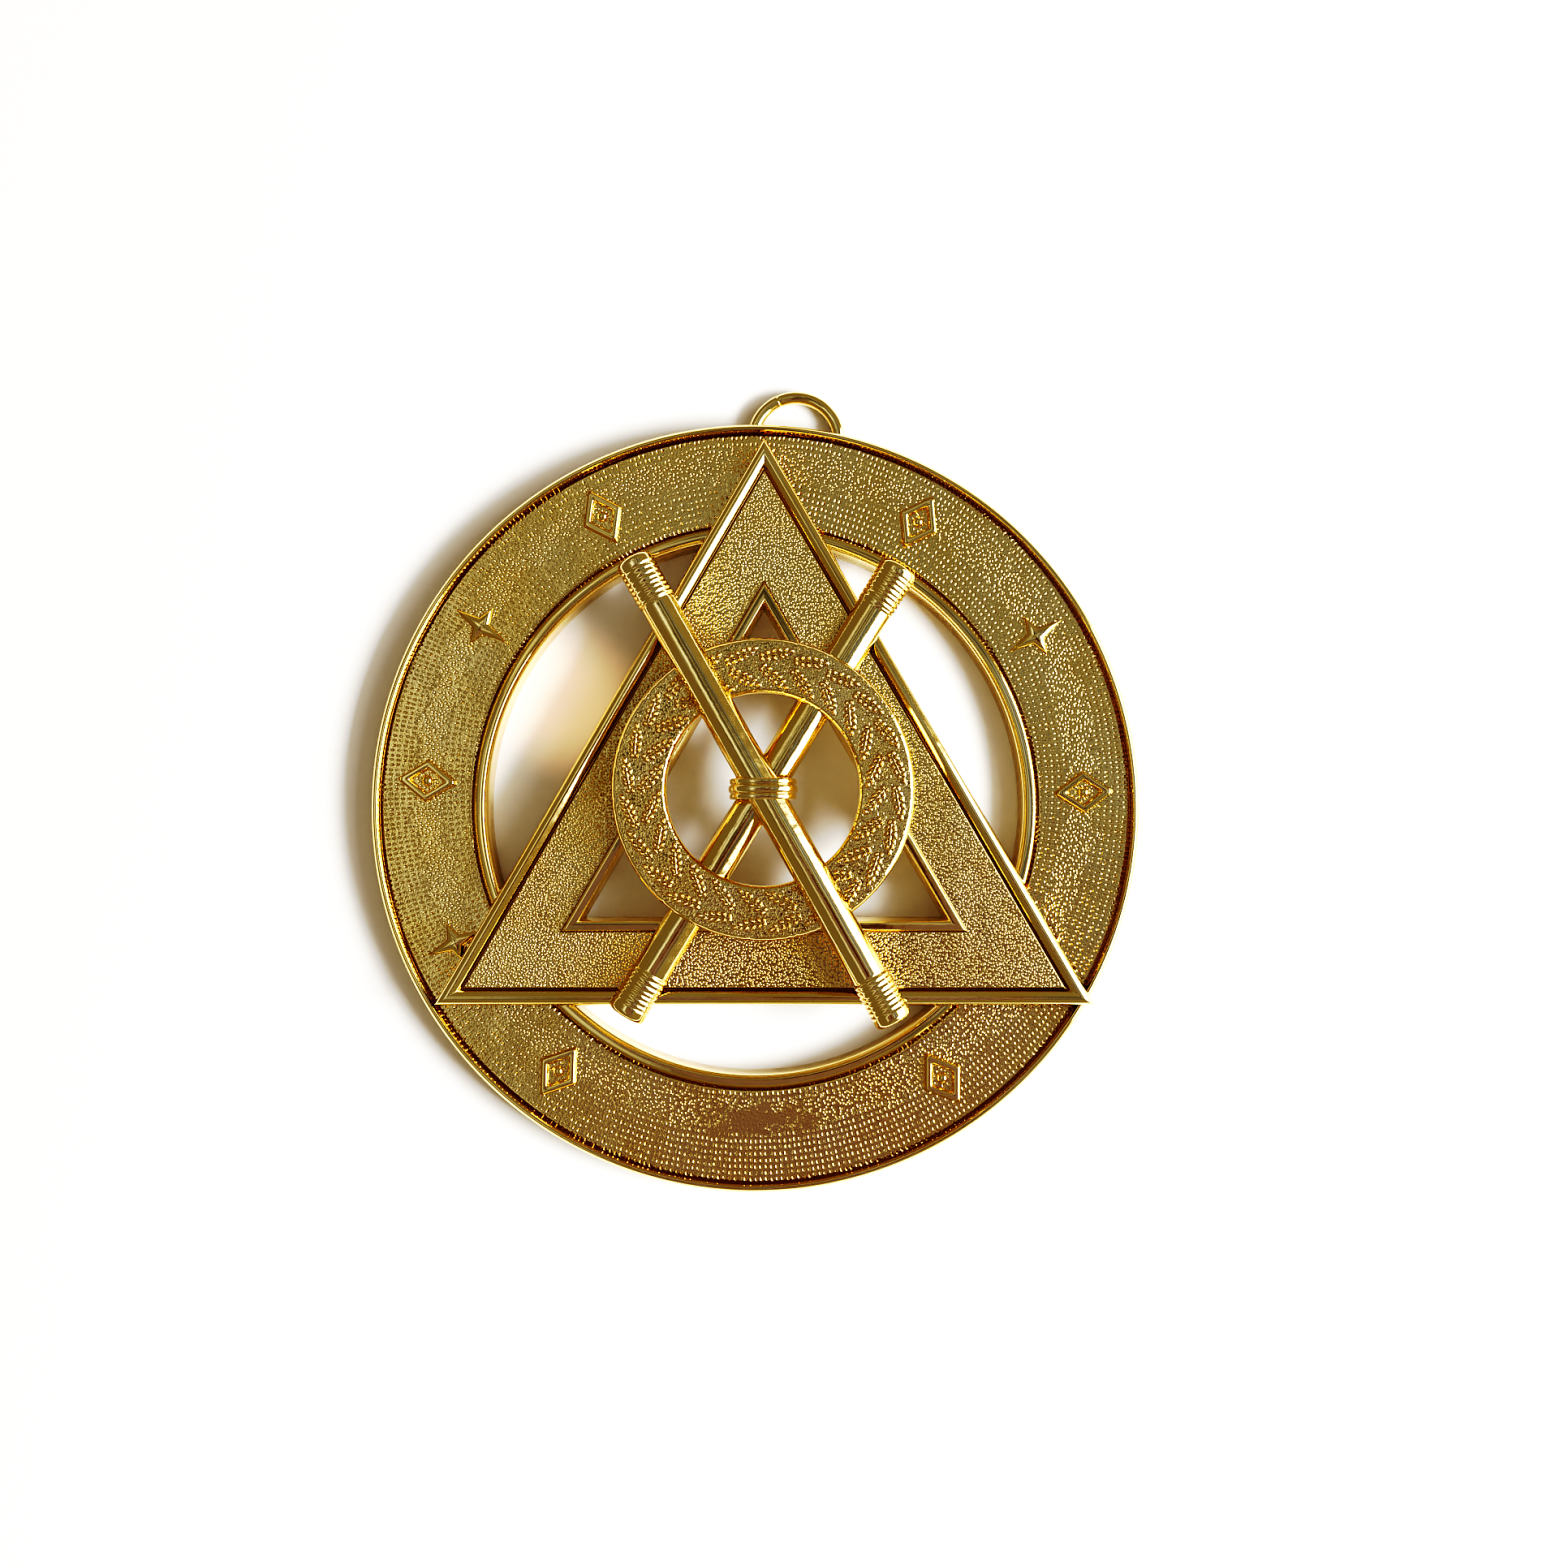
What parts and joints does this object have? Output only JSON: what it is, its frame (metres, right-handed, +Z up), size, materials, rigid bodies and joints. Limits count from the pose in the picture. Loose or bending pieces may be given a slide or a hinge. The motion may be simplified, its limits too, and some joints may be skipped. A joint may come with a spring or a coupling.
{
  "type": "masonic jewel",
  "caption": "Round gilt collar jewel: ring band with raised ornaments, pierced triangular frame, leaf wreath with crossed rods tied at the middle, wire loop at the top.",
  "frame": {"origin": "on the surface that the jewel lies on, under the middle of its outline", "axes": "+Z up out of the face, +Y towards the suspension loop, +X to the right of the face"},
  "size_m": [0.076, 0.0796, 0.008],
  "materials": {
    "stippled_gilt": "gold plate, polished rims round a stippled field",
    "chased_gilt": "gold plate over granular ground and veined leaves",
    "polished_gilt": "mirror-polished gold plate"
  },
  "bodies": {
    "root": {"ring_band": "stippled_gilt", "triangle_frame": "stippled_gilt", "wreath": "chased_gilt", "rod_over": "polished_gilt", "rod_under": "polished_gilt", "binding": "polished_gilt", "suspension_loop": "polished_gilt"}
  },
  "joints": []
}
